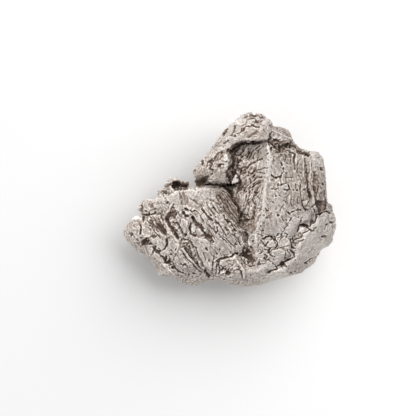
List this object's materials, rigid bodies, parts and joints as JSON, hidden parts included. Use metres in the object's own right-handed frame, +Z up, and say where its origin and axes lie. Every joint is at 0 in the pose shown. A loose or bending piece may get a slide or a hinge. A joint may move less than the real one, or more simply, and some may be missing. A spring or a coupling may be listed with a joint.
{
  "type": "iron meteorite",
  "caption": "Loose, irregular lump of nickel-iron with a striated lobe, a creased valley, a raised ridge and a smooth rounded belt; rests on its underside.",
  "frame": {"origin": "centre of the bounding box in plan, at the height of the surface that the stone rests on", "axes": "+X along the longest extent, from the low tapering lobe towards the high rounded side; +Y towards the pointed crest; +Z up"},
  "size_m": [0.053, 0.0442, 0.0261],
  "materials": {
    "iron": "wire-brushed bare iron, satin, with brown oxide left in the cracks and pits"
  },
  "bodies": {
    "root": {"meteorite": "iron"}
  },
  "joints": []
}
